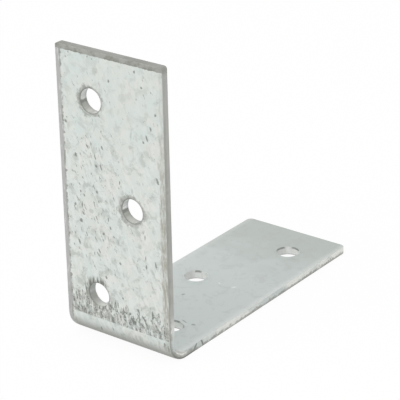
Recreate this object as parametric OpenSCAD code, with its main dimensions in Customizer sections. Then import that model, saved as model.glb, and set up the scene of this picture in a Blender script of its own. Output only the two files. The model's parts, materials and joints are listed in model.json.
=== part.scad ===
// Corner brace bracket: one strip of galvanised steel sheet, punched flat and folded once at a
// right angle. Millimetres. The brace stands on its horizontal leg.
// X runs across the strip, Y from the vertical leg towards the horizontal leg's tip, Z up.
// The origin is in the middle of the footprint, on the surface that the brace stands on.

/* [Legs] */
// Length of the vertical leg, from the outside of the corner to its tip
leg_v_len = 60; // [45:0.5:120]
// Length of the horizontal leg, from the outside of the corner to its tip
leg_h_len = 60.5; // [45:0.5:120]
// Width of the strip
strip_w = 25; // [20:0.5:60]

/* [Sheet] */
// Thickness of the galvanised sheet
sheet_t = 1.6; // [1:0.1:3]
// Radius inside the fold
fold_r = 3.2; // [1:0.1:8]
// Radius of the two corners at the vertical leg's tip, seen square on
corner_v_r = 0.6; // [0.2:0.1:4]
// Radius of the two corners at the horizontal leg's tip, seen square on
corner_h_r = 1.1; // [0.2:0.1:4]

/* [Punched edge] */
// How far the edge's roll-over reaches in across the outer face
edge_roll_w = 1.0; // [0.6:0.1:2]
// How deep the roll-over sinks at the edge
edge_roll_d = 0.1; // [0.05:0.05:0.5]

/* [Holes] */
// Diameter of the straight wall of each screw hole
hole_d = 4.8; // [3:0.1:8]
// Number of screw holes in each leg
holes_per_leg = 3; // [2:1:4]
// Distance from a leg's tip to the centre of the hole nearest to it
hole_from_tip = 9.9; // [6:0.1:20]
// Distance from the end of the fold to the centre of the hole nearest to it
hole_from_fold = 5.6; // [4:0.1:12]
// Distance from the strip's centre line to each hole's centre, left and right in turn
hole_stagger = 4.5; // [0:0.5:6]

/* [Hole rims] */
// How far the rim's roll-over reaches out across the outer face
rim_roll_w = 0.5; // [0.4:0.1:1.2]
// How deep the roll-over sinks at the rim
rim_roll_d = 0.15; // [0.05:0.05:0.35]
// How far the lip that the punch raised reaches out from the hole, across the inner face
lip_w = 0.7; // [0.6:0.1:1.5]
// How high the lip stands above the inner face
lip_h = 0.4; // [0.1:0.05:0.45]

/* [Hidden] */
$fn = 96;

// Cutters stand proud of the faces they cut by this much
proud = 0.5;
// Width of the level crest of a hole's lip
lip_crest = 0.15;
// Radius outside the fold
fold_outer_r = fold_r + sheet_t;
// Outer face of the vertical leg
front_y = -leg_h_len / 2;
// Colour of the zinc coating
zinc = [0.81, 0.83, 0.81];

// Distance between neighbouring holes along a leg of this length
function hole_pitch(leg_len) =
    (leg_len - hole_from_tip - hole_from_fold - fold_outer_r) / (holes_per_leg - 1);
// Distance of a hole from the outside of the corner; hole 0 is the one nearest to the tip
function hole_place(leg_len, i) = leg_len - hole_from_tip - i * hole_pitch(leg_len);
// Side of the centre line that a hole is on: the holes zigzag along the leg from its tip
function hole_side(i) = i % 2 == 0 ? -1 : 1;

// What a roll-over takes off a square edge: a wedge under an arc that is tangent to the face.
// The edge is at [0, 0], the face runs along +X and the metal is on the +Y side of it. The wedge
// goes a little deeper than the arc's end, where it is already clear of the metal.
module roll_wedge(w, d) {
    r = (w * w + d * d) / (2 * d);
    difference() {
        translate([-proud, -proud]) square([w + proud, proud + d + proud / 10]);
        translate([w, r]) circle(r);
    }
}

// Cross-section of the strip, with its outer face on Y = 0 and the punched roll-over on both sides
module strip_section() {
    difference() {
        translate([-strip_w / 2, 0]) square([strip_w, sheet_t]);
        for (side = [0, 1])
            mirror([side, 0]) translate([-strip_w / 2, 0]) roll_wedge(edge_roll_w, edge_roll_d);
    }
}

// The fold: a quarter turn of the strip's section about the inside of the corner
module fold() {
    translate([0, fold_outer_r, fold_outer_r])
        rotate([-90, 0, 0]) rotate([0, 90, 0])
            rotate_extrude(angle = 90)
                translate([fold_outer_r, 0]) rotate(90) strip_section();
}

// A flat stretch of the strip that rises from the fold, with its outer face on Y = 0
module flat(leg_len) {
    translate([0, 0, fold_outer_r]) linear_extrude(leg_len - fold_outer_r) strip_section();
}

// What comes off the end of a leg: the roll-over along the tip and the two square corners
module tip_cut(leg_len, corner_r) {
    translate([-strip_w / 2 - proud, 0, leg_len])
        rotate([0, 90, 0]) linear_extrude(strip_w + 2 * proud)
            roll_wedge(edge_roll_w, edge_roll_d);
    for (side = [0, 1])
        mirror([side, 0, 0]) translate([-strip_w / 2, 0, leg_len]) corner_cut(corner_r);
}

// One square corner of the sheet, outside its rounding
module corner_cut(corner_r) {
    translate([0, sheet_t + proud, 0]) rotate([90, 0, 0])
        linear_extrude(sheet_t + 2 * proud)
            difference() {
                translate([-proud, -corner_r]) square(corner_r + proud);
                translate([corner_r, -corner_r]) circle(corner_r);
            }
}

// One punched hole along +Y, through the sheet and its lip: a rolled rim where the punch went in
// at the outer face, and a straight wall
module punched_hole() {
    rotate([-90, 0, 0]) {
        translate([0, 0, -proud]) cylinder(h = sheet_t + lip_h + 2 * proud, d = hole_d);
        rotate_extrude() translate([hole_d / 2, 0]) roll_wedge(rim_roll_w, rim_roll_d);
    }
}

// The lip that the punch raised around a hole at the inner face, before the hole goes through it.
// It is rooted in the sheet, and its flank is an arc that is tangent to the face.
module lip() {
    reach = hole_d / 2 + lip_w;
    r = (pow(lip_w - lip_crest, 2) + pow(lip_h, 2)) / (2 * lip_h);
    translate([0, sheet_t, 0]) rotate([-90, 0, 0])
        rotate_extrude()
            difference() {
                translate([0, -sheet_t / 2]) square([reach, sheet_t / 2 + lip_h]);
                translate([reach, r]) circle(r);
            }
}

// One leg as punched, standing up along Z from the corner, with its outer face on Y = 0
module leg(leg_len, corner_r) {
    difference() {
        union() {
            flat(leg_len);
            at_holes(leg_len) lip();
        }
        tip_cut(leg_len, corner_r);
        at_holes(leg_len) punched_hole();
    }
}

// Puts what it is given at each of a leg's holes
module at_holes(leg_len) {
    for (i = [0 : holes_per_leg - 1])
        translate([hole_side(i) * hole_stagger, 0, hole_place(leg_len, i)]) children();
}

// Turns a standing leg half a turn about the line that halves the corner: it lies along +Y with
// its outer face on Z = 0, and its zigzag of holes carries on where the other leg's ends
module laid_down() {
    rotate(180, [0, 1, 1]) children();
}

module corner_brace() {
    color(zinc) translate([0, front_y, 0]) {
        leg(leg_v_len, corner_v_r);
        fold();
        laid_down() leg(leg_h_len, corner_h_r);
    }
}

corner_brace();
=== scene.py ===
# Corner brace bracket: one strip of galvanised sheet, punched flat, folded once, and set on a
# white stage. Lengths are in metres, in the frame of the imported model; patterns are in millimetres.

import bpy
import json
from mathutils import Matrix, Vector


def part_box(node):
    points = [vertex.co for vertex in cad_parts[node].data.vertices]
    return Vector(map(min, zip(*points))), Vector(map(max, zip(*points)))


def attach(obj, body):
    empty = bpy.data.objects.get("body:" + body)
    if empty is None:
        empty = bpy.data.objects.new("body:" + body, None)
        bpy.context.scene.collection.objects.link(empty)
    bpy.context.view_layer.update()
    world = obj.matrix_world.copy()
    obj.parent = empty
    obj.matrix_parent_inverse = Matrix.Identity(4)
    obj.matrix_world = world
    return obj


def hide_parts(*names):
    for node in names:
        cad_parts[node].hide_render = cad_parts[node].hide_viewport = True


bl_info = {
    "name": "Corner Brace Bracket",
    "version": (1, 0, 0),
    "blender": (4, 5, 0),
    "location": "3D View > Sidebar > Corner Brace",
    "description": "Punches, folds and galvanises a corner brace, and sets it on a white stage",
    "category": "Add Mesh",
}

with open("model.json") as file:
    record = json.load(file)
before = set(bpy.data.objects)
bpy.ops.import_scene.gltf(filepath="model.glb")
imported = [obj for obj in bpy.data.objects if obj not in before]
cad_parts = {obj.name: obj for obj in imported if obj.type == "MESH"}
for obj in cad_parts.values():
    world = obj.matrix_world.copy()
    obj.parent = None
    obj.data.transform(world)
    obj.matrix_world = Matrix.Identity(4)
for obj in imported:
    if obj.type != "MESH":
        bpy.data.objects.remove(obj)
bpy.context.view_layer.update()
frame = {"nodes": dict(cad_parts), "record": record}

import json
import math

import bmesh
import bpy
import numpy as np
from bpy.props import FloatProperty, FloatVectorProperty, IntProperty, PointerProperty
from mathutils import Matrix, Vector

# Points that are this near to a plane lie in it
FLUSH = 1e-6

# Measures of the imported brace
NODE = "corner_brace"
LOW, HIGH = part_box(NODE)
POINTS = [vertex.co for vertex in frame["nodes"][NODE].data.vertices]
STRIP_W = HIGH.x - LOW.x
LEG_V = HIGH.z - LOW.z
LEG_H = HIGH.y - LOW.y
SHEET_T = max(co.z for co in POINTS if co.y > HIGH.y - FLUSH)
LIP_H = max(co.z for co in POINTS if co.y > 0) - SHEET_T
FOLD_OUTER_R = min(co.z for co in POINTS if co.y < LOW.y + FLUSH)
MOUNTS = {mount["name"]: mount for mount in frame["record"]["mounts"]}

# The flat strip hangs from the start of the fold: X across it, Z up along it, Y into the sheet
FOLD_R = FOLD_OUTER_R - SHEET_T / 2
FOLD_L = FOLD_R * math.pi / 2
FOLD_START = Vector((0, LOW.y + SHEET_T / 2, LOW.z + FOLD_OUTER_R))
STRIP_TOP = LEG_V - FOLD_OUTER_R
STRIP_FOOT = -(FOLD_L + LEG_H - FOLD_OUTER_R)
STRIP_L = STRIP_TOP - STRIP_FOOT
STRIP_MID = (STRIP_TOP + STRIP_FOOT) / 2
OUTER = -SHEET_T / 2
INNER = SHEET_T / 2

# The same in the patterns' millimetres, along the strip from the vertical tip
MM = 1000
HALF_W = STRIP_W / 2 * MM
BEND = STRIP_TOP * MM
FOOT = STRIP_L * MM
THICK = SHEET_T * MM

# Names that the pieces of the script share
PIECE = "galvanised_brace"
BLANK = "blank_mm"
NEAR_HOLE = "from_hole_mm"
EDGES = "sheared_edges"
LIPS = "torn_lips"
FACES = ("zinc_outer_face", "zinc_inner_face", "sheared_edge", "punched_wall")

# Faces that meet at a sharper turn are bevelled, or shaded apart once the strip is folded
BEVEL_FROM = math.radians(60)
SHARP_FROM = math.radians(50)
# Share of bare metal in the look of the zinc, and what a full step in its relief stands for
METALLIC = 0.4
RELIEF = 0.00005

# Where the slanting strokes of the outer face are closest together, and how far that reaches
DENSE_AT = (-5, 31, 0)
DENSE_REACH = (8, 19, 9)
# Marks that stand out, as across, along, length, breadth, and lean in degrees from the strip's
# length. On the outer face, dark pits and then faint smudges
PITS = (
    (6.2, 2.0, 0.7, 0.6, 0), (0.1, 5.0, 0.7, 0.5, 0), (7.7, 4.7, 0.6, 0.5, 60),
    (-10.7, 15.1, 0.9, 0.7, 30), (9.5, 12.2, 1.0, 0.5, 15), (8.6, 14.3, 1.5, 0.5, 15),
    (7.8, 15.2, 0.7, 0.5, 30), (10.7, 9.3, 0.7, 0.6, 0), (-2.1, 18.6, 1.2, 0.5, 25),
    (-5.7, 19.1, 1.3, 0.5, 30), (-3.9, 20.8, 1.3, 0.4, 15), (-3.7, 22.6, 0.8, 0.6, 20),
    (-8.6, 21.4, 1.1, 0.7, 10), (1.8, 24.6, 1.0, 0.4, -10), (10.8, 22.2, 1.7, 0.7, 25),
    (-3.8, 27.9, 0.8, 0.6, 20), (-7.8, 28.7, 0.7, 0.5, 0), (-7.0, 29.3, 0.9, 0.5, 20),
    (-9.3, 31.7, 0.8, 0.6, 0), (-7.6, 31.3, 1.8, 0.4, -5), (-7.4, 33.1, 1.2, 0.5, 35),
    (-8.0, 34.8, 1.1, 0.9, 0), (-1.3, 32.9, 1.2, 0.35, -5), (-0.9, 34.5, 0.9, 0.5, 20),
    (-2.6, 36.2, 0.8, 0.7, 0), (7.4, 34.3, 1.3, 0.35, 0), (-8.7, 39.4, 1.4, 0.6, 20),
    (-3.8, 40.1, 1.3, 0.4, 25), (7.4, 38.6, 1.3, 0.3, 0), (7.5, 40.4, 1.1, 0.5, 0),
    (9.8, 39.4, 1.5, 0.5, 10), (1.2, 41.4, 0.8, 0.5, 45), (-2.4, 45.3, 0.8, 0.6, 30),
    (1.5, 48.6, 0.6, 0.5, 0), (-4.5, 56.8, 1.3, 0.6, -10), (-1.3, 56.0, 1.0, 0.3, 20),
    (11.3, 55.5, 0.9, 0.6, 0), (12.1, 56.1, 1.6, 0.4, 0),
)
SMUDGES = (
    (-3.1, 3.7, 2.4, 1.6, -15), (4.9, 14.4, 2.4, 0.5, -5), (4.6, 16.8, 1.0, 1.0, 40),
    (7.4, 18.0, 1.2, 0.9, 0), (-5.0, 22.4, 1.4, 0.5, 25), (-8.7, 22.0, 2.0, 1.8, 0),
    (4.7, 25.6, 1.3, 0.7, 0), (-1.4, 29.4, 1.2, 0.4, 55), (-5.4, 32.2, 1.2, 1.6, 0),
    (4.5, 39.9, 1.3, 0.6, 30), (1.9, 43.6, 1.4, 0.5, 10), (1.5, 45.8, 1.0, 0.9, 0),
    (5.0, 45.4, 1.3, 0.4, 80), (-8.3, 50.8, 2.6, 1.3, 10), (5.3, 32.7, 0.9, 2.0, 15),
)
# On the inner face, dark scratches and then pale flecks
INNER_MARKS = ((-2.0, 79.6, 1.0, 0.7, 20), (7.5, 70.5, 1.2, 0.8, 60), (5.2, 70.6, 2.0, 0.4, -70))
INNER_FLECKS = ((4.5, 88.0, 1.4, 0.6, 30), (1.0, 87.8, 1.0, 0.4, -60), (-12.0, 86.5, 1.2, 0.5, 0))
# Torn spots in the crests of the lips around the base's holes
TEARS = (
    (2.3, 107.7, 3.2, 0.9, 10), (5.0, 109.5, 2.9, 0.9, -78), (-5.6, 89.3, 1.6, 0.8, 58),
    (4.2, 69.6, 2.6, 0.7, 90), (6.6, 68.4, 1.7, 0.6, -32),
)
# Dark streaks through the walls of the two upper holes
CREASES = ((2.1, 30.4, 0.8, 1.0, 0), (-6.9, 10.6, 0.9, 1.0, 0), (5.2, 32.0, 1.2, 0.8, 0))
# On the sheared edge to the right, two nicks by the fold, with depth in the place of across
NICKS = ((0.9, 64.5, 2.4, 0.6, 50), (1.0, 66.7, 3.4, 0.6, -68))


def hole_centres():
    """Places of the six screw holes on the flat strip, as (across, up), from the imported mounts."""
    places = []
    for pattern, single, up in (
        ("wall_screws", "wall_middle_screw", lambda pos: pos[2] - FOLD_OUTER_R),
        ("base_screws", "base_middle_screw", lambda pos: -FOLD_L - (pos[1] - LOW.y - FOLD_OUTER_R)),
    ):
        middle = MOUNTS[pattern]["pos_m"]
        reach = MOUNTS[pattern]["dims"]["spacing_y_mm"] / 2 / MM
        places += [(middle[0], up(middle) + side * reach) for side in (1, -1)]
        places.append((MOUNTS[single]["pos_m"][0], up(MOUNTS[single]["pos_m"])))
    return places


HOLES = hole_centres()
HOLE_R = MOUNTS["wall_middle_screw"]["dims"]["r_mm"] / MM


def length(name, description, default):
    """A size in metres that shows in the sidebar."""
    return FloatProperty(
        name=name, description=description, default=default, unit="LENGTH", precision=5
    )


def point(name, description, default):
    """A point that shows in the sidebar."""
    return FloatVectorProperty(
        name=name, description=description, default=default, subtype="TRANSLATION", precision=5
    )


def angle(name, description, degrees):
    """An angle that shows in the sidebar."""
    return FloatProperty(
        name=name, description=description, default=math.radians(degrees), subtype="ANGLE"
    )


def amount(name, description, default, kind="NONE"):
    """A plain number, or a lamp's power, that shows in the sidebar."""
    return FloatProperty(name=name, description=description, default=default, subtype=kind)


def count(name, description, default, least=2):
    """A whole number that shows in the sidebar."""
    return IntProperty(name=name, description=description, default=default, min=least)


def colour(name, description, default):
    """A colour that shows in the sidebar."""
    return FloatVectorProperty(
        name=name, description=description, default=default, subtype="COLOR", min=0, max=1
    )


class BraceBlank(bpy.types.PropertyGroup):
    """Sizes of the punched strip before it is folded."""

    cell: length("Cell", "Side of one mesh cell on the strip's faces", 0.00031)
    layers: count("Layers", "Mesh layers through the sheet", 8)
    edge_roll_w: length("Edge roll width", "How far the sheared edge is rolled over", 0.001)
    edge_roll_d: length("Edge roll depth", "How deep the sheared edge is rolled over", 0.0001)
    edge_rings: count("Edge rings", "Mesh rings across the rolled edge", 5)
    top_corner_r: length("Top corner", "Corner radius at the vertical leg's tip", 0.0006)
    foot_corner_r: length("Foot corner", "Corner radius at the horizontal leg's tip", 0.0011)
    rim_roll_w: length("Rim roll width", "How far the rim of a hole is rolled over", 0.0005)
    rim_roll_d: length("Rim roll depth", "How deep the rim of a hole is rolled over", 0.00015)
    rim_rings: count("Rim rings", "Mesh rings across the rolled rim", 5)
    lip_w: length("Lip width", "How far the lip reaches out around a hole inside", 0.0007)
    lip_crest: length("Lip crest", "Width of the level top of the lip", 0.00015)
    arris: length("Arris", "Width of the worn bevel along every edge", 0.00004)
    patch: count("Patch", "Cells along the square of mesh around a hole", 24, least=8)
    patch_rings: count("Patch rings", "Cuts between that square and the rim of the hole", 3)


class BraceWear(bpy.types.PropertyGroup):
    """Unevenness that the rolling, the dipping, the punching and the handling left."""

    sway: length("Sway", "Depth of the broad unevenness of the coat", 0.00002)
    sway_size: length("Sway size", "Breadth of the broad unevenness", 0.006)
    peel: length("Peel", "Depth of the fine unevenness of the coat", 0.00001)
    peel_size: length("Peel size", "Breadth of the fine unevenness", 0.0012)
    chatter: length("Chatter", "Depth of the tool marks along the sheared edges", 0.00003)
    chatter_size: length("Chatter size", "Breadth of the tool marks", 0.0012)
    tear: length("Tear", "Depth of the tears in the lips around the holes", 0.00016)
    tear_size: length("Tear size", "Breadth of the tears", 0.0009)


class BraceFinish(bpy.types.PropertyGroup):
    """Colours of the zinc, the bare steel and the dirt; some of them also give painted shade."""

    zinc_cool: colour("Cool zinc", "Bluish patches in the outer face", (0.68, 0.745, 0.72))
    zinc_warm: colour("Warm zinc", "Beige patches in the outer face", (0.72, 0.74, 0.70))
    zinc_inner: colour("Inner zinc", "Smoother zinc of the inner face", (0.59, 0.64, 0.625))
    # Painted shade: the inner face darkens to this tone towards the base's far tip
    zinc_inner_shade: colour("Dull zinc", "Duller zinc of the inner face", (0.50, 0.54, 0.51))
    smudge: colour("Smudge", "Faint grey smudges", (0.49, 0.52, 0.485))
    # Scuff also gives the colour of the painted contact shadow at the bend's cut edges
    scuff: colour("Scuff", "Dark scuffs, scrapes and pits", (0.21, 0.22, 0.20))
    shine: colour("Shine", "Freshly rubbed zinc", (0.86, 0.87, 0.84))
    bright: colour("Bright", "Bright zinc in the holes", (0.88, 0.90, 0.87))
    # Rolled edge also gives the colour of the painted shade on the lower half of the bend
    rolled: colour("Rolled edge", "Grey zinc where the edge is rolled over", (0.325, 0.33, 0.30))
    # Flank also gives the colour of the painted shade on the lowest hole's left wall
    flank: colour("Flank", "Grey zinc along the left edge", (0.455, 0.46, 0.45))
    grime: colour("Grime", "Beige dirt, mostly along the right edge", (0.42, 0.415, 0.36))
    sheared: colour("Sheared", "Dull sheared steel", (0.385, 0.385, 0.36))
    # Torn also gives the colour of the painted shade low on the holes' left walls
    torn: colour("Torn", "Dark torn steel at the bottom of a cut", (0.245, 0.25, 0.215))
    burnished: colour("Burnished", "Smooth, pale part of a cut", (0.84, 0.845, 0.80))


class BraceStage(bpy.types.PropertyGroup):
    """The camera, the lamps and the white floor."""

    target: point("Target", "Point that the camera looks at", (0.0004, -0.00428, 0.02195))
    distance: length("Distance", "From the target to the camera", 0.365)
    azimuth: angle("Azimuth", "Turn of the view about Z", 37.573)
    elevation: angle("Elevation", "How far the camera looks down", 24.275)
    roll: angle("Roll", "Tilt of the camera about its own axis", -1.189)
    lens: amount("Lens", "Focal length, in millimetres", 166.35)
    floor: length("Floor", "Side of the square floor", 4.0)
    ambient: amount("Ambient", "Strength of the light from all around", 0.8)
    key: amount("Key", "Power of the lamp in front", 2.2, "POWER")
    key_place: point("Key place", "Where the lamp in front stands", (-0.25, -0.75, 0.45))
    side: amount("Side", "Power of the lamp on the right", 0.8, "POWER")
    side_place: point("Side place", "Where the lamp on the right stands", (0.8, -0.1, 0.5))
    lamp_size: length("Lamp size", "Side of the two square lamps", 0.6)
    bounce: amount("Bounce", "Share of the light that the floor throws back", 0.55)
    shadow: amount("Shadow", "Share of real shading in the white floor", 0.06)


def pick(piece, kind, passes):
    """In edit mode, selects the vertices, edges or faces that pass a test, and no others."""
    bpy.ops.mesh.select_mode(type=kind)
    bpy.ops.mesh.select_all(action="DESELECT")
    shape = bmesh.from_edit_mesh(piece.data)
    for part in {"VERT": shape.verts, "EDGE": shape.edges, "FACE": shape.faces}[kind]:
        if passes(part):
            part.select_set(True)
    shape.select_flush_mode()
    bmesh.update_edit_mesh(piece.data)


def margin(across, up):
    """Distance from a point on the flat strip to its nearest edge."""
    return min(STRIP_W / 2 - abs(across), STRIP_TOP - up, up - STRIP_FOOT)


def in_square(co, centre, half):
    """Whether a point is in the square of mesh around a hole."""
    return abs(co.x - centre[0]) < half[0] and abs(co.z - centre[1]) < half[1]


def field_size(blank):
    """Width and length of the flat strip inside its rolled border."""
    return STRIP_W - 2 * blank.edge_roll_w, STRIP_L - 2 * blank.edge_roll_w


def lay_field(blank):
    """The grid of cells inside the rolled border, on the outer side of the sheet."""
    wide, tall = field_size(blank)
    bpy.ops.mesh.primitive_grid_add(
        x_subdivisions=round(wide / blank.cell),
        y_subdivisions=round(tall / blank.cell),
        size=1,
        location=FOLD_START,
        rotation=(math.radians(90), 0, 0),
    )
    piece = bpy.context.object
    piece.name = PIECE
    piece.data.name = PIECE
    bpy.ops.object.transform_apply(location=False, rotation=True, scale=False)
    bpy.ops.object.mode_set(mode="EDIT")
    bpy.ops.mesh.select_all(action="SELECT")
    bpy.ops.transform.resize(value=(wide, 1, tall), center_override=FOLD_START)
    bpy.ops.transform.translate(value=(0, OUTER, STRIP_MID))
    return piece


def open_squares(piece, blank):
    """Cuts a square out of the grid at each hole; returns the squares' centres and their reach."""
    cells = [side / round(side / blank.cell) for side in field_size(blank)]
    corner = (blank.edge_roll_w - STRIP_W / 2, STRIP_FOOT + blank.edge_roll_w)
    squares = [
        [start + round((place - start) / cell) * cell
         for place, start, cell in zip(hole, corner, cells)]
        for hole in HOLES
    ]
    half = [blank.patch / 2 * cell for cell in cells]
    pick(
        piece, "FACE",
        lambda face: any(in_square(face.calc_center_median(), square, half) for square in squares),
    )
    bpy.ops.mesh.delete(type="FACE")
    return squares, [side + cell / 2 for side, cell in zip(half, cells)]


def ring_hole(piece, blank, hole, square, reach):
    """Joins a round rim to the square opening around a hole, with rings across the rolled rim.
    The rim starts behind the sheet, which tells the bridge its way round, and is pressed flat."""
    place = FOLD_START + Vector((hole[0], INNER, hole[1]))
    radius = HOLE_R + blank.rim_roll_w

    def is_open(edge):
        return len(edge.link_faces) < 2 and all(in_square(v.co, square, reach) for v in edge.verts)

    bpy.ops.mesh.select_all(action="DESELECT")
    bpy.ops.mesh.primitive_circle_add(
        vertices=4 * blank.patch, radius=radius, location=place, rotation=(math.radians(90), 0, 0)
    )
    pick(piece, "EDGE", is_open)
    bpy.ops.mesh.bridge_edge_loops(number_cuts=blank.patch_rings, interpolation="LINEAR")
    pick(piece, "EDGE", is_open)
    for _ in range(blank.rim_rings):
        smaller = radius - blank.rim_roll_w / blank.rim_rings
        bpy.ops.mesh.extrude_region()
        by = smaller / radius
        bpy.ops.transform.resize(value=(by, 1, by), center_override=place)
        radius = smaller
    bpy.ops.mesh.select_all(action="SELECT")
    bpy.ops.transform.resize(value=(1, 0, 1), center_override=FOLD_START + Vector((0, OUTER, 0)))


def border_rings(piece, blank):
    """Widens the grid by rings of cells to the strip's full outline."""
    middle = FOLD_START + Vector((0, OUTER, STRIP_MID))
    wide, tall = field_size(blank)
    step = 2 * blank.edge_roll_w / blank.edge_rings
    pick(
        piece, "EDGE",
        lambda edge: edge.is_boundary
        and all(margin(v.co.x, v.co.z) < blank.edge_roll_w + FLUSH for v in edge.verts),
    )
    for _ in range(blank.edge_rings):
        bpy.ops.mesh.extrude_region()
        bpy.ops.transform.resize(
            value=((wide + step) / wide, 1, (tall + step) / tall), center_override=middle
        )
        wide += step
        tall += step


def round_corners(piece, blank):
    """Turns the square rings in each corner of the outline into rings of round ones."""
    shape = bmesh.from_edit_mesh(piece.data)
    for up, end, radius in (
        (STRIP_TOP, 1, blank.top_corner_r),
        (STRIP_FOOT, -1, blank.foot_corner_r),
    ):
        for vertex in shape.verts:
            side = math.copysign(1, vertex.co.x)
            centre = Vector((side * (STRIP_W / 2 - radius), vertex.co.y, up - end * radius))
            out = vertex.co - centre
            if out.x * side > 0 and out.z * end > 0:
                vertex.co = centre + out * (max(abs(out.x), abs(out.z)) / out.length)
    bmesh.update_edit_mesh(piece.data)


def thicken(piece, blank):
    """Draws the flat layout through the sheet in layers, and bevels every arris slightly."""
    bpy.ops.mesh.select_mode(type="FACE")
    bpy.ops.mesh.select_all(action="SELECT")
    for _ in range(blank.layers):
        bpy.ops.mesh.extrude_region_move(
            TRANSFORM_OT_translate={"value": (0, SHEET_T / blank.layers, 0)}
        )
    bpy.ops.mesh.select_all(action="SELECT")
    bpy.ops.mesh.normals_make_consistent(inside=False)
    pick(
        piece, "EDGE",
        lambda edge: len(edge.link_faces) == 2 and edge.calc_face_angle() > BEVEL_FROM,
    )
    bpy.ops.mesh.bevel(offset=blank.arris, offset_type="OFFSET", segments=2, affect="EDGES")


def read_points(mesh, name):
    """A table of the vectors that the mesh keeps for its points."""
    values = np.zeros(len(mesh.vertices) * 3)
    mesh.attributes[name].data.foreach_get("vector", values)
    return values.reshape(-1, 3)


def note_places(piece):
    """Keeps each point's place on the flat strip, for the patterns that follow the sheet."""
    bpy.ops.object.mode_set(mode="OBJECT")
    flat = read_points(piece.data, "position")
    places = np.stack((flat[:, 0], STRIP_TOP - flat[:, 2], flat[:, 1] - OUTER), axis=1)
    away = np.stack([flat[:, [0, 2]] - np.array(hole) for hole in HOLES])
    reach = np.linalg.norm(away, axis=2)
    nearest = reach.argmin(axis=0)
    rows = np.arange(len(flat))
    rims = np.column_stack((away[nearest, rows], reach[nearest, rows] - HOLE_R))
    for name, values in ((BLANK, places), (NEAR_HOLE, rims)):
        kept = piece.data.attributes.new(name, "FLOAT_VECTOR", "POINT")
        kept.data.foreach_set("vector", (values * MM).ravel())


def push(depth, reach):
    """Moves what is selected through the sheet, and what is within reach of it less and less."""
    bpy.ops.transform.translate(
        value=(0, depth, 0),
        use_proportional_edit=True,
        proportional_edit_falloff="SHARP",
        proportional_size=reach,
    )


def roll_over(piece, blank):
    """Rolls the sheared edges and the rims over, and raises the lips at the inner face."""
    bpy.ops.object.mode_set(mode="EDIT")
    brim = blank.arris + FLUSH
    pick(piece, "VERT", lambda v: v.co.y < OUTER + brim and margin(v.co.x, v.co.z) < brim)
    push(blank.edge_roll_d, blank.edge_roll_w)
    for across, up in HOLES:
        pick(
            piece, "VERT",
            lambda v: v.co.y < OUTER + brim
            and math.hypot(v.co.x - across, v.co.z - up) < HOLE_R + brim,
        )
        push(blank.rim_roll_d, blank.rim_roll_w)
        pick(
            piece, "VERT",
            lambda v: v.co.y > INNER - brim
            and math.hypot(v.co.x - across, v.co.z - up) < HOLE_R + blank.lip_crest,
        )
        push(LIP_H, blank.lip_w - blank.lip_crest)
    bpy.ops.object.mode_set(mode="OBJECT")


def sink(piece, name, depth, size, group=""):
    """Sinks the surface unevenly, by no more than the given depth."""
    pattern = bpy.data.textures.new(name, "CLOUDS")
    pattern.noise_scale = size
    pattern.noise_depth = 2
    uneven = piece.modifiers.new(name, "DISPLACE")
    uneven.texture = pattern
    uneven.texture_coords = "LOCAL"
    uneven.mid_level = 1
    uneven.strength = depth
    uneven.vertex_group = group
    bpy.ops.object.modifier_apply(modifier=uneven.name)


def wear_down(piece, blank, wear):
    """Gives the faces the coat's unevenness, the cuts their tool marks and the lips their tears."""
    depth = read_points(piece.data, BLANK)[:, 2] / MM
    gap = read_points(piece.data, NEAR_HOLE)[:, 2] / MM
    walls = np.flatnonzero((depth > FLUSH) & (depth < SHEET_T - FLUSH))
    lips = np.flatnonzero((depth > SHEET_T - blank.arris - FLUSH) & (gap < blank.lip_crest))
    piece.vertex_groups.new(name=EDGES).add(walls.tolist(), 1, "REPLACE")
    piece.vertex_groups.new(name=LIPS).add(lips.tolist(), 1, "REPLACE")
    sink(piece, "coat sway", wear.sway, wear.sway_size)
    sink(piece, "coat peel", wear.peel, wear.peel_size)
    sink(piece, "shear chatter", wear.chatter, wear.chatter_size, EDGES)
    sink(piece, "lip tears", wear.tear, wear.tear_size, LIPS)


def fold(piece):
    """Bends the strip by a right angle at its middle plane, and fixes it in place."""
    ups = read_points(piece.data, "position")[:, 2]
    low, high = ups.min(), ups.max()
    bend = piece.modifiers.new("fold", "SIMPLE_DEFORM")
    bend.deform_method = "BEND"
    bend.deform_axis = "X"
    bend.angle = math.radians(90)
    bend.limits = ((-FOLD_L - low) / (high - low), -low / (high - low))
    bpy.ops.object.modifier_apply(modifier=bend.name)
    bpy.ops.object.transform_apply(location=True, rotation=False, scale=False)
    bpy.ops.object.shade_smooth_by_angle(angle=SHARP_FROM)


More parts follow.
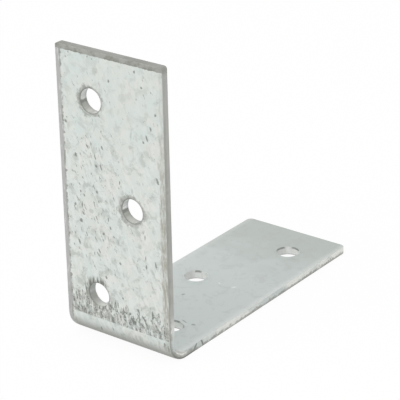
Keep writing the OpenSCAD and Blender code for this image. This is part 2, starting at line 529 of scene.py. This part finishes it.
class Wiring:
    """Adds nodes to one tree and joins them. A material's wiring also places node groups."""

    def __init__(self, tree, groups=None):
        self.tree = tree
        self.groups = groups

    def add(self, kind, feeds=None, **settings):
        """A new node. Each feed is a plain value, or the socket that drives the input."""
        node = self.tree.nodes.new(kind)
        for name, value in settings.items():
            setattr(node, name, value)
        for key, value in (feeds or {}).items():
            if isinstance(value, bpy.types.NodeSocket):
                self.tree.links.new(value, node.inputs[key])
            else:
                node.inputs[key].default_value = value
        return node

    def math(self, operation, *values):
        """The result of one sum."""
        return self.add("ShaderNodeMath", dict(enumerate(values)), operation=operation).outputs[0]

    def product(self, first, *others):
        """All the values multiplied."""
        for other in others:
            first = self.math("MULTIPLY", first, other)
        return first

    def most(self, first, *others):
        """The largest of the values."""
        for other in others:
            first = self.math("MAXIMUM", first, other)
        return first

    def scaled(self, value, by, plus):
        """A value multiplied, and then added to another."""
        return self.math("MULTIPLY_ADD", value, by, plus)

    def vector(self, operation, *values):
        """The result of one sum on vectors."""
        node = self.add("ShaderNodeVectorMath", dict(enumerate(values)), operation=operation)
        return node.outputs["Value" if operation == "LENGTH" else "Vector"]

    def turn(self, place, angle):
        """A place turned in the plane of the sheet."""
        return self.add(
            "ShaderNodeVectorRotate", {"Vector": place, "Angle": angle}, rotation_type="Z_AXIS"
        ).outputs[0]

    def ease(self, value, start, end):
        """0 before start, 1 past end, and a smooth rise between them."""
        node = self.add(
            "ShaderNodeMapRange",
            {"Value": value, "From Min": start, "From Max": end},
            interpolation_type="SMOOTHSTEP",
        )
        return node.outputs["Result"]

    def noise(self, place, scale, detail=2.0, roughness=0.5, warp=0.0):
        """Cloudy noise around a half, at so many cycles to the millimetre."""
        feeds = {
            "Vector": place, "Scale": scale, "Detail": detail,
            "Roughness": roughness, "Distortion": warp,
        }
        return self.add("ShaderNodeTexNoise", feeds).outputs[0]

    def streaks(self, place, cell, detail=3.0, roughness=0.6):
        """Noise drawn out to cells of so many millimetres each way."""
        return self.noise(self.vector("DIVIDE", place, cell), 1.0, detail, roughness)

    def blend(self, share, *tones):
        """One colour laid over another. Each is a socket, or three plain parts."""
        under, over = (
            tone if isinstance(tone, bpy.types.NodeSocket) else (*tone, 1.0) for tone in tones
        )
        feeds = {0: share, 6: under, 7: over}
        return self.add("ShaderNodeMix", feeds, data_type="RGBA").outputs[2]

    def parts(self, vector):
        """The three parts of a vector."""
        node = self.add("ShaderNodeSeparateXYZ", {0: vector})
        return node.outputs[0], node.outputs[1], node.outputs[2]

    def join(self, *values):
        """A vector from its parts."""
        return self.add("ShaderNodeCombineXYZ", dict(enumerate(values))).outputs[0]

    def group(self, kind, **feeds):
        """The outputs of a node group that is placed here."""
        feeds = {name.capitalize(): value for name, value in feeds.items()}
        return self.add("ShaderNodeGroup", feeds, node_tree=self.groups[kind]).outputs

    def leaning(self, place, lean, breadth, long, level):
        """The mask of the strokes that lean by so many degrees."""
        lean = math.radians(lean)
        feeds = {"place": place, "lean": lean, "breadth": breadth, "length": long, "level": level}
        return self.group("scuffs", **feeds)["Mask"]

    def band(self, place, distance, **look):
        """The mask of a worn band along an edge, from the distance to that edge."""
        return self.group("border", place=place, distance=distance, **look)["Mask"]

    def marks(self, place, spots):
        """All the marks of one list, in one mask."""
        rough = self.noise(place, 2.2, detail=3.0, roughness=0.7)
        across, along, _ = self.parts(place)
        flat = self.join(across, along, 0.0)
        mask = 0.0
        for x, y, long, broad, lean in spots:
            mark = self.group(
                "mark", place=flat, centre=(x, y, 0), lean=math.radians(lean),
                size=(broad / 2, long / 2, 1), rough=rough,
            )
            mask = self.most(mask, mark["Mask"])
        return mask


def new_group(name, inputs, outputs=("Mask",)):
    """An empty node group. Its inputs are numbers with a default, or else vectors. Returns its
    wiring, its inputs and its exit node."""
    group = bpy.data.node_groups.new(name, "ShaderNodeTree")
    for label, default in inputs.items():
        kind = "NodeSocketVector" if default is None else "NodeSocketFloat"
        socket = group.interface.new_socket(label, in_out="INPUT", socket_type=kind)
        if default is not None:
            socket.default_value = default
    for label in outputs:
        group.interface.new_socket(label, in_out="OUTPUT", socket_type="NodeSocketFloat")
    entry = group.nodes.new("NodeGroupInput")
    leave = group.nodes.new("NodeGroupOutput")
    return Wiring(group), entry.outputs, leave.inputs


def border_group():
    """A worn band along an edge, with a ragged inner side."""
    wires, given, made = new_group("Worn Border", {
        "Place": None, "Distance": 1.0, "Width": 1.0, "Ragged": 0.3, "Grain": 1.0, "Softness": 0.1,
    })
    rough = wires.noise(given["Place"], given["Grain"], detail=4.0, roughness=0.6)
    swing = wires.product(wires.math("SUBTRACT", rough, 0.5), given["Ragged"])
    reach = wires.scaled(swing, 4.0, given["Width"])
    inside = wires.math("SUBTRACT", reach, given["Distance"])
    low = wires.product(given["Softness"], -1.0)
    wires.tree.links.new(wires.ease(inside, low, given["Softness"]), made["Mask"])
    return wires.tree


def scuff_group():
    """Uneven strokes that all lean about the same way. The higher the level, the fewer they are."""
    wires, given, made = new_group("Leaning Scuffs", {
        "Place": None, "Lean": 0.0, "Breadth": 0.4, "Length": 1.5, "Level": 0.6,
    })
    cell = wires.join(given["Breadth"], given["Length"], 1.0)
    drawn = wires.vector("DIVIDE", wires.turn(given["Place"], given["Lean"]), cell)
    rough = wires.noise(drawn, 1.0, detail=3.0, roughness=0.6, warp=0.5)
    over = wires.math("SUBTRACT", rough, given["Level"])
    wires.tree.links.new(wires.ease(over, 0.0, 0.07), made["Mask"])
    return wires.tree


def mottle_group():
    """The broad and the fine unevenness of a zinc coat."""
    wires, given, made = new_group(
        "Zinc Mottle", {"Place": None, "Broad": 0.16, "Fine": 1.2}, ("Clouds", "Flecks", "Height")
    )
    broad = wires.noise(given["Place"], given["Broad"], detail=3.0, roughness=0.55, warp=0.6)
    fine = wires.noise(given["Place"], given["Fine"], detail=4.0, roughness=0.65, warp=0.6)
    wires.tree.links.new(wires.ease(broad, 0.32, 0.68), made["Clouds"])
    wires.tree.links.new(wires.ease(fine, 0.33, 0.7), made["Flecks"])
    wires.tree.links.new(wires.scaled(fine, 0.8, broad), made["Height"])
    return wires.tree


def mark_group():
    """One mark at a chosen place, with a ragged outline."""
    wires, given, made = new_group("Placed Mark", {
        "Place": None, "Centre": None, "Lean": 0.0, "Size": None, "Rough": 0.5,
    })
    away = wires.turn(wires.vector("SUBTRACT", given["Place"], given["Centre"]), given["Lean"])
    out = wires.vector("LENGTH", wires.vector("DIVIDE", away, given["Size"]))
    ragged = wires.scaled(given["Rough"], 1.6, out)
    wires.tree.links.new(wires.ease(ragged, 1.85, 1.25), made["Mask"])
    return wires.tree


def clear_wiring(holder, groups=None):
    """The wiring of a material or a world, with an empty tree."""
    holder.use_nodes = True
    holder.node_tree.nodes.clear()
    return Wiring(holder.node_tree, groups)


def start_material(name, groups, roughness):
    """A material with a shader whose plain values are set; returns its wiring and its sockets."""
    material = bpy.data.materials.new(name)
    wires = clear_wiring(material, groups)
    shader = wires.add("ShaderNodeBsdfPrincipled", {"Metallic": METALLIC, "Roughness": roughness})
    wires.add("ShaderNodeOutputMaterial", {"Surface": shader.outputs[0]})
    place = wires.add("ShaderNodeAttribute", attribute_name=BLANK).outputs["Vector"]
    rim = wires.add("ShaderNodeAttribute", attribute_name=NEAR_HOLE).outputs["Vector"]
    return material, wires, shader.inputs, place, rim


def dress(wires, shader, base, roughness, height, strength):
    """Joins the finished colour, roughness and relief to the shader."""
    wires.tree.links.new(base, shader["Base Color"])
    wires.tree.links.new(roughness, shader["Roughness"])
    bump = wires.add("ShaderNodeBump", {"Height": height, "Strength": strength, "Distance": RELIEF})
    wires.tree.links.new(bump.outputs[0], shader["Normal"])


def fold_scrapes(wires, place, rim):
    """Where the folding tool rubbed the coat: close dark strokes above the bend with bright ones
    among them and dirt on the left, and upright ones over the hole there. Returns the masks of
    the dark strokes, the bright ones and the dirt."""
    across, along, _ = wires.parts(place)
    sideways, rise, gap = wires.parts(rim)
    strokes = wires.leaning(place, lean=16, breadth=0.75, long=1.9, level=0.46)
    crumpled = wires.ease(wires.noise(place, 1.1, detail=4.0, roughness=0.75, warp=1.0), 0.4, 0.56)
    strokes = wires.product(strokes, wires.scaled(crumpled, 0.75, 0.25))
    teeth = wires.streaks(place, (0.8, 9.0, 9.0))
    start = wires.scaled(wires.math("SUBTRACT", teeth, 0.5), 10.0, BEND - 5.0)
    entry = wires.ease(wires.math("SUBTRACT", along, start), -0.3, 0.6)
    deep = wires.ease(along, BEND - 3.8, BEND - 2.2)
    deep = wires.product(deep, wires.scaled(crumpled, 0.35, 0.15))
    inside = wires.product(entry, wires.ease(along, BEND - 0.5, BEND - 0.65))
    zone = wires.product(inside, wires.most(strokes, deep))
    bare = wires.leaning(place, lean=12, breadth=0.6, long=2.0, level=0.53)
    upright = wires.leaning(place, lean=4, breadth=0.6, long=4.0, level=0.48)
    above = wires.product(
        wires.ease(gap, 1.9, 0.5), wires.ease(rise, -1.5, 0.5), wires.ease(sideways, 2.6, 1.2),
        wires.ease(along, 40.0, 44.0), wires.ease(along, BEND - 0.5, BEND - 1.0), upright,
    )
    stain = wires.product(inside, wires.ease(across, 2.0, -6.0), crumpled, 0.5)
    return wires.most(zone, above), wires.product(inside, bare), stain


def rolled_bands(wires, finish, place, base):
    """The grey bands where the sheared edges are rolled over, and the dirt along the right one."""
    across, along, _ = wires.parts(place)
    tip = wires.math("MINIMUM", along, wires.math("SUBTRACT", FOOT, along))
    left = wires.math("ADD", across, HALF_W)
    right = wires.math("SUBTRACT", HALF_W, across)
    drawn = wires.streaks(place, (0.35, 2.5, 2.5), 4.0, 0.7)
    patchy = wires.noise(place, 0.45, detail=4.0, roughness=0.65)
    flank = wires.band(place, left, width=1.3, ragged=0.4, grain=0.9, softness=0.1)
    base = wires.blend(wires.product(flank, 0.9), base, finish.flank)
    seam = wires.product(flank, wires.ease(left, 0.8, 1.1), wires.ease(patchy, 0.42, 0.6), 0.7)
    base = wires.blend(seam, base, finish.torn)
    rubbed = wires.product(flank, wires.ease(drawn, 0.52, 0.7), 0.6)
    base = wires.blend(rubbed, base, finish.shine)
    dirty = wires.product(wires.ease(along, 6.0, 32.0), wires.ease(along, 58.0, 46.0))
    worn = wires.scaled(dirty, 0.6, 0.8)
    runs = wires.vector("DIVIDE", place, (0.4, 1.8, 1.8))
    dirt = wires.band(runs, right, width=worn, ragged=0.65, grain=0.6, softness=0.3)
    share = wires.scaled(dirty, 0.55, 0.3)
    share = wires.product(share, wires.scaled(wires.ease(drawn, 0.38, 0.62), 0.9, 0.35))
    base = wires.blend(wires.product(dirt, share), base, finish.grime)
    edge = wires.band(place, tip, width=0.98, ragged=0.16, grain=1.1, softness=0.06)
    tone = wires.blend(wires.ease(patchy, 0.33, 0.6), finish.torn, finish.sheared)
    base = wires.blend(edge, base, tone)
    line = wires.product(edge, wires.ease(tip, 0.62, 0.9), wires.ease(patchy, 0.6, 0.42), 0.8)
    return wires.blend(line, base, finish.torn)


def outer_face(finish, groups):
    """The outer face: pale, mottled zinc with pits, rubs, slanting strokes and smears round the
    holes, worn borders, a scraped bend, and painted shade on the lower half of the bend."""
    material, wires, shader, place, rim = start_material(FACES[0], groups, roughness=0.5)
    across, along, _ = wires.parts(place)
    sideways, _, gap = wires.parts(rim)
    mottle = wires.group("mottle", place=place, broad=0.22, fine=0.42)
    base = wires.blend(mottle["Clouds"], finish.zinc_warm, finish.zinc_cool)
    lower = wires.ease(along, 8.0, 26.0)
    flat = wires.ease(along, BEND, BEND - 1)
    base = wires.blend(wires.product(lower, flat, 0.12), base, finish.shine)
    worn = wires.scaled(wires.ease(along, BEND, BEND + 1), 0.8, lower)
    dull = wires.product(wires.ease(mottle["Flecks"], 0.35, 1.0), wires.scaled(worn, 0.3, 0.42))
    base = wires.blend(dull, base, finish.smudge)
    rubs = wires.leaning(place, lean=22, breadth=0.9, long=2.4, level=0.5)
    rubs = wires.product(rubs, wires.scaled(worn, 0.2, 0.15))
    base = wires.blend(rubs, base, finish.shine)
    faint = wires.marks(place, SMUDGES)
    base = wires.blend(wires.product(faint, 0.6), base, finish.smudge)
    away = wires.vector("SUBTRACT", place, DENSE_AT)
    spread = wires.vector("LENGTH", wires.vector("DIVIDE", away, DENSE_REACH))
    level = wires.scaled(wires.ease(spread, 1.3, 0.4), -0.055, 0.645)
    strokes = wires.leaning(place, lean=24, breadth=0.42, long=1.4, level=level)
    pits = wires.marks(place, PITS)
    scraped, bare, stain = fold_scrapes(wires, place, rim)
    halo = wires.scaled(wires.ease(across, 0.0, 1.0), 0.1, 0.5)
    halo = wires.scaled(wires.ease(sideways, 1.6, -1.6), 0.25, halo)
    smear = wires.band(place, gap, width=halo, ragged=0.6, grain=1.1, softness=0.4)
    cloudy = wires.ease(wires.noise(place, 0.9, detail=4.0, roughness=0.7), 0.35, 0.6)
    smear = wires.product(smear, wires.scaled(cloudy, 0.5, 0.4))
    base = wires.blend(smear, base, finish.rolled)
    base = wires.blend(stain, base, finish.grime)
    outline = wires.product(wires.ease(gap, 0.28, 0.08), 0.7)
    dark = wires.most(
        wires.product(strokes, flat, 0.7), wires.product(pits, 0.8), wires.product(scraped, 0.95),
        outline,
    )
    base = wires.blend(dark, base, finish.scuff)
    base = wires.blend(wires.product(bare, 0.55), base, finish.shine)
    # Painted shade: a grey band over the lower half of the bend, which faces the floor
    under = wires.product(
        wires.ease(along, BEND - 0.3, BEND + 3.0), wires.ease(along, BEND + 8, BEND + 4.5), 0.95
    )
    base = wires.blend(under, base, finish.rolled)
    base = rolled_bands(wires, finish, place, base)
    height = wires.math("SUBTRACT", mottle["Height"], dark)
    dress(wires, shader, base, wires.scaled(dark, 0.15, 0.5), height, strength=0.5)
    return material


def inner_face(finish, groups):
    """The inner face: smoother, greener zinc that turns darker with painted shade towards the base's
    far tip, with pale borders, a few scratches and flecks, and torn spots in the lips."""
    material, wires, shader, place, _ = start_material(FACES[1], groups, roughness=0.5)
    across, along, _ = wires.parts(place)
    mottle = wires.group("mottle", place=place, broad=0.12, fine=0.4)
    # Painted shade: the inner face turns darker towards the base's far tip
    far = wires.ease(wires.scaled(mottle["Clouds"], 6.0, along), 94.0, 118.0)
    base = wires.blend(far, finish.zinc_inner, finish.zinc_inner_shade)
    dull = wires.product(wires.ease(mottle["Flecks"], 0.4, 1.0), 0.3)
    base = wires.blend(dull, base, finish.flank)
    edge = wires.math("SUBTRACT", HALF_W, wires.math("ABSOLUTE", across))
    pale = wires.band(place, edge, width=0.9, ragged=0.3, grain=0.4, softness=0.7)
    share = wires.scaled(wires.ease(across, -1.0, 1.0), 0.18, 0.17)
    base = wires.blend(wires.product(pale, share), base, finish.shine)
    flecks = wires.marks(place, INNER_FLECKS)
    base = wires.blend(wires.product(flecks, 0.6), base, finish.shine)
    marks, tears = (wires.marks(place, kind) for kind in (INNER_MARKS, TEARS))
    dark = wires.product(wires.most(marks, tears), 0.6)
    base = wires.blend(dark, base, finish.scuff)
    height = wires.math("SUBTRACT", mottle["Height"], dark)
    dress(wires, shader, base, wires.scaled(dark, 0.15, 0.48), height, strength=0.15)
    return material


def sheared_edge(finish, groups):
    """The cut outline, with a torn line at the outer side: dull grey on the vertical leg, and pale
    and burnished on the fold and the horizontal leg. The fold has drawn lines and a dark rim,
    partly a torn edge and partly painted contact shadow where the bend nears the floor."""
    material, wires, shader, place, _ = start_material(FACES[2], groups, roughness=0.5)
    across, along, depth = wires.parts(place)
    rough = wires.streaks(place, (1.0, 1.4, 1.4), 4.0, 0.65)
    uneven = wires.scaled(wires.math("SUBTRACT", rough, 0.5), 2.4, depth)
    by_fold = wires.product(wires.ease(along, 56.0, 58.5), wires.ease(along, 66.0, 63.0))
    uneven = wires.scaled(by_fold, -0.25, uneven)
    drift = wires.ease(wires.noise(place, 0.22), 0.4, 0.62)
    dull = wires.blend(drift, finish.sheared, finish.rolled)
    line = wires.product(wires.ease(uneven, 0.75, 0.35), wires.ease(along, 4.0, 14.0), 0.45)
    dull = wires.blend(line, dull, finish.torn)
    dull = wires.blend(wires.product(wires.ease(along, 0.5, 2.0), 0.16), dull, finish.shine)
    dull = wires.blend(wires.product(wires.ease(along, 2.0, 0.5), 0.2), dull, finish.scuff)
    pale = wires.blend(drift, finish.burnished, finish.zinc_inner)
    cut = wires.ease(uneven, 0.85, 0.45)
    pale = wires.blend(wires.product(cut, 0.75), pale, finish.sheared)
    drawn = wires.streaks(place, (1.0, 6.0, 0.3))
    lines = wires.product(wires.ease(drawn, 0.48, 0.58), by_fold, 0.55)
    pale = wires.blend(lines, pale, finish.rolled)
    bottom = wires.product(wires.ease(uneven, 0.4, 0.1), 0.4)
    pale = wires.blend(bottom, pale, finish.torn)
    # Painted contact shadow along the outer side of the cut at the bend, near the floor, over a dark
    # torn edge
    outline = wires.product(wires.ease(depth, 0.5, 0.25), by_fold, 0.9)
    pale = wires.blend(outline, pale, finish.scuff)
    past = wires.ease(wires.scaled(rough, 1.5, along), BEND - 5.5, BEND - 1.0)
    base = wires.blend(past, dull, pale)
    on_edge = wires.join(depth, along, 0.0)
    nicks = wires.product(wires.marks(on_edge, NICKS), wires.ease(across, 0, 1))
    base = wires.blend(nicks, base, finish.torn)
    height = wires.math("SUBTRACT", rough, nicks)
    dress(wires, shader, base, wires.scaled(cut, 0.1, 0.48), height, strength=0.3)
    return material


def punched_wall(finish, groups):
    """The walls of the holes: pale, with streaks along the punch's way and a dark outer brim. In
    the vertical leg they are grimy below, grey at the inner rim and creased, with painted shade low
    on the left wall and over the lowest hole's left wall; in the base their sides are grey and their
    crests torn."""
    material, wires, shader, place, rim = start_material(FACES[3], groups, roughness=0.45)
    _, along, depth = wires.parts(place)
    sideways, rise, _ = wires.parts(rim)
    standing = wires.ease(along, BEND, BEND - 2)
    drawn = wires.streaks(place, (0.7, 0.7, 3.0))
    upright = wires.scaled(wires.ease(along, BEND + 2, BEND), 0.35, 0.15)
    streaked = wires.product(wires.ease(drawn, 0.42, 0.66), upright)
    base = wires.blend(streaked, finish.bright, finish.flank)
    aside = wires.ease(wires.math("ABSOLUTE", sideways), 1.2, 2.3)
    aside = wires.product(aside, wires.ease(along, BEND, BEND + 2), 0.4)
    base = wires.blend(aside, base, finish.flank)
    under = wires.product(wires.ease(rise, -0.5, -2.0), standing, 0.45)
    base = wires.blend(under, base, finish.grime)
    # Painted shade on the left wall of the vertical leg's lowest hole, taken together with the grey
    # of the inner rim
    left_wall_shade = wires.product(wires.ease(along, 44.0, 48.0), wires.ease(sideways, 0.0, -1.2), standing)
    inmost = wires.product(wires.ease(depth, THICK - 0.5, THICK - 0.1), standing)
    dim = wires.product(wires.most(left_wall_shade, inmost), 0.55)
    base = wires.blend(dim, base, finish.flank)
    # Painted shade low down on the left wall of each hole in the vertical leg
    low = wires.product(
        wires.ease(sideways, 0.4, -1.2), wires.ease(rise, 0.0, -0.6), wires.ease(rise, -2.6, -1.2),
        standing, 0.6,
    )
    base = wires.blend(low, base, finish.torn)
    brim = wires.product(wires.ease(depth, 0.3, 0.1), 0.7)
    base = wires.blend(brim, base, finish.scuff)
    crest = wires.product(
        wires.marks(place, TEARS), wires.ease(depth, THICK - 0.3, THICK - 0.15), 0.75
    )
    crease = wires.product(wires.marks(place, CREASES), 0.75)
    base = wires.blend(wires.most(crest, crease), base, finish.scuff)
    dress(wires, shader, base, wires.scaled(low, 0.1, 0.42), drawn, strength=0.15)
    return material


def galvanise(piece, finish):
    """Gives each kind of surface its own finish, from its place on the flat strip."""
    groups = {
        "border": border_group(), "scuffs": scuff_group(),
        "mottle": mottle_group(), "mark": mark_group(),
    }
    for make in (outer_face, inner_face, sheared_edge, punched_wall):
        piece.data.materials.append(make(finish, groups))
    mesh = piece.data
    depth = read_points(mesh, BLANK)[:, 2] / MM
    from_rim = read_points(mesh, NEAR_HOLE)[:, 2] / MM
    outer, inner, cut, wall = range(len(FACES))
    slots = []
    for face in mesh.polygons:
        deep = [depth[i] for i in face.vertices]
        if max(deep) < FLUSH:
            slots.append(outer)
        elif min(deep) > SHEET_T - FLUSH:
            slots.append(inner)
        else:
            at_rim = min(from_rim[i] for i in face.vertices) < SHEET_T / 4
            slots.append(wall if at_rim else cut)
    mesh.polygons.foreach_set("material_index", slots)
    mesh.update()


class BRACE_OT_make_brace(bpy.types.Operator):
    """Punch, wear, fold and galvanise the brace's one strip of sheet"""

    bl_idname = "brace.make_brace"
    bl_label = "Make Brace"
    bl_options = {"REGISTER", "UNDO"}

    def execute(self, context):
        blank = context.scene.brace_blank
        bpy.ops.object.select_all(action="DESELECT")
        piece = lay_field(blank)
        squares, reach = open_squares(piece, blank)
        for hole, square in zip(HOLES, squares):
            ring_hole(piece, blank, hole, square, reach)
        border_rings(piece, blank)
        round_corners(piece, blank)
        thicken(piece, blank)
        note_places(piece)
        roll_over(piece, blank)
        wear_down(piece, blank, context.scene.brace_wear)
        fold(piece)
        galvanise(piece, context.scene.brace_finish)
        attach(piece, "root")
        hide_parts(NODE)
        return {"FINISHED"}


def seen(wires):
    """1 for the rays that show what they meet, and 0 for those that only carry its light."""
    rays = wires.add("ShaderNodeLightPath").outputs
    return wires.most(rays["Is Camera Ray"], rays["Is Glossy Ray"], rays["Is Transmission Ray"])


def white_floor(stage):
    """A white floor that keeps a faint shadow under the brace."""
    bpy.ops.mesh.primitive_plane_add(size=stage.floor, location=(0, 0, LOW.z))
    floor = bpy.context.object
    floor.name = "stage_floor"
    material = bpy.data.materials.new("white_floor")
    wires = clear_wiring(material)
    shown = seen(wires)
    tone = wires.blend(shown, [stage.bounce] * 3, (1, 1, 1))
    matt = wires.add("ShaderNodeBsdfDiffuse", {"Color": tone}).outputs[0]
    white = wires.add("ShaderNodeEmission", {"Strength": 1.0}).outputs[0]
    share = wires.product(shown, 1 - stage.shadow)
    look = wires.add("ShaderNodeMixShader", {0: share, 1: matt, 2: white}).outputs[0]
    wires.add("ShaderNodeOutputMaterial", {"Surface": look})
    floor.data.materials.append(material)


def white_world(stage):
    """White all around where it is seen, and a plain soft light where it isn't."""
    world = bpy.data.worlds.new("white_room")
    wires = clear_wiring(world)
    strength = wires.add("ShaderNodeMix", {0: seen(wires), 2: stage.ambient, 3: 1.0}).outputs[0]
    back = wires.add("ShaderNodeBackground", {"Color": (1, 1, 1, 1), "Strength": strength})
    wires.add("ShaderNodeOutputWorld", {"Surface": back.outputs[0]})
    bpy.context.scene.world = world


def soft_lamp(name, stage, place, power):
    """A large square lamp that faces the camera's target."""
    lamp = bpy.data.lights.new(name, "AREA")
    lamp.size = stage.lamp_size
    lamp.energy = power
    stand = bpy.data.objects.new(name, lamp)
    stand.location = place
    sight = Vector(stage.target) - Vector(place)
    stand.rotation_euler = sight.to_track_quat("-Z", "Y").to_euler()
    bpy.context.scene.collection.objects.link(stand)


def aim_camera(stage):
    """The camera at the photograph's angle."""
    flat = math.cos(stage.elevation)
    sight = Vector((
        -math.sin(stage.azimuth) * flat,
        math.cos(stage.azimuth) * flat,
        -math.sin(stage.elevation),
    ))
    camera = bpy.data.cameras.new("camera")
    camera.lens = stage.lens
    camera.clip_start = 0.01
    camera.clip_end = 10
    stand = bpy.data.objects.new("camera", camera)
    place = Vector(stage.target) - sight * stage.distance
    turn = sight.to_track_quat("-Z", "Y").to_matrix().to_4x4()
    stand.matrix_world = Matrix.Translation(place) @ turn @ Matrix.Rotation(stage.roll, 4, "Z")
    bpy.context.scene.collection.objects.link(stand)
    bpy.context.scene.camera = stand


class BRACE_OT_set_stage(bpy.types.Operator):
    """Set the white floor, the lamps and the camera"""

    bl_idname = "brace.set_stage"
    bl_label = "Set Stage"
    bl_options = {"REGISTER", "UNDO"}

    def execute(self, context):
        stage = context.scene.brace_stage
        bpy.ops.object.select_all(action="DESELECT")
        white_floor(stage)
        white_world(stage)
        soft_lamp("key_lamp", stage, stage.key_place, stage.key)
        soft_lamp("side_lamp", stage, stage.side_place, stage.side)
        aim_camera(stage)
        context.scene.view_settings.view_transform = "Standard"
        return {"FINISHED"}


class BRACE_PT_sidebar(bpy.types.Panel):
    """The brace's settings and steps, in the 3D view's sidebar"""

    bl_label = "Corner Brace"
    bl_idname = "BRACE_PT_sidebar"
    bl_space_type = "VIEW_3D"
    bl_region_type = "UI"
    bl_category = "Corner Brace"

    def draw(self, context):
        for step, groups in (
            (BRACE_OT_make_brace, ("brace_blank", "brace_wear", "brace_finish")),
            (BRACE_OT_set_stage, ("brace_stage",)),
        ):
            box = self.layout.box()
            for group in groups:
                settings = getattr(context.scene, group)
                for name in settings.__annotations__:
                    box.prop(settings, name)
            box.operator(step.bl_idname)


SETTINGS = {
    "brace_blank": BraceBlank,
    "brace_wear": BraceWear,
    "brace_finish": BraceFinish,
    "brace_stage": BraceStage,
}
CLASSES = (BRACE_OT_make_brace, BRACE_OT_set_stage, BRACE_PT_sidebar)


def register():
    for name, group in SETTINGS.items():
        bpy.utils.register_class(group)
        setattr(bpy.types.Scene, name, PointerProperty(type=group))
    for kind in CLASSES:
        bpy.utils.register_class(kind)


def unregister():
    for kind in reversed(CLASSES):
        bpy.utils.unregister_class(kind)
    for name, group in SETTINGS.items():
        delattr(bpy.types.Scene, name)
        bpy.utils.unregister_class(group)


def main():
    register()
    bpy.ops.brace.make_brace()
    bpy.ops.brace.set_stage()


if __name__ == "__main__":
    main()
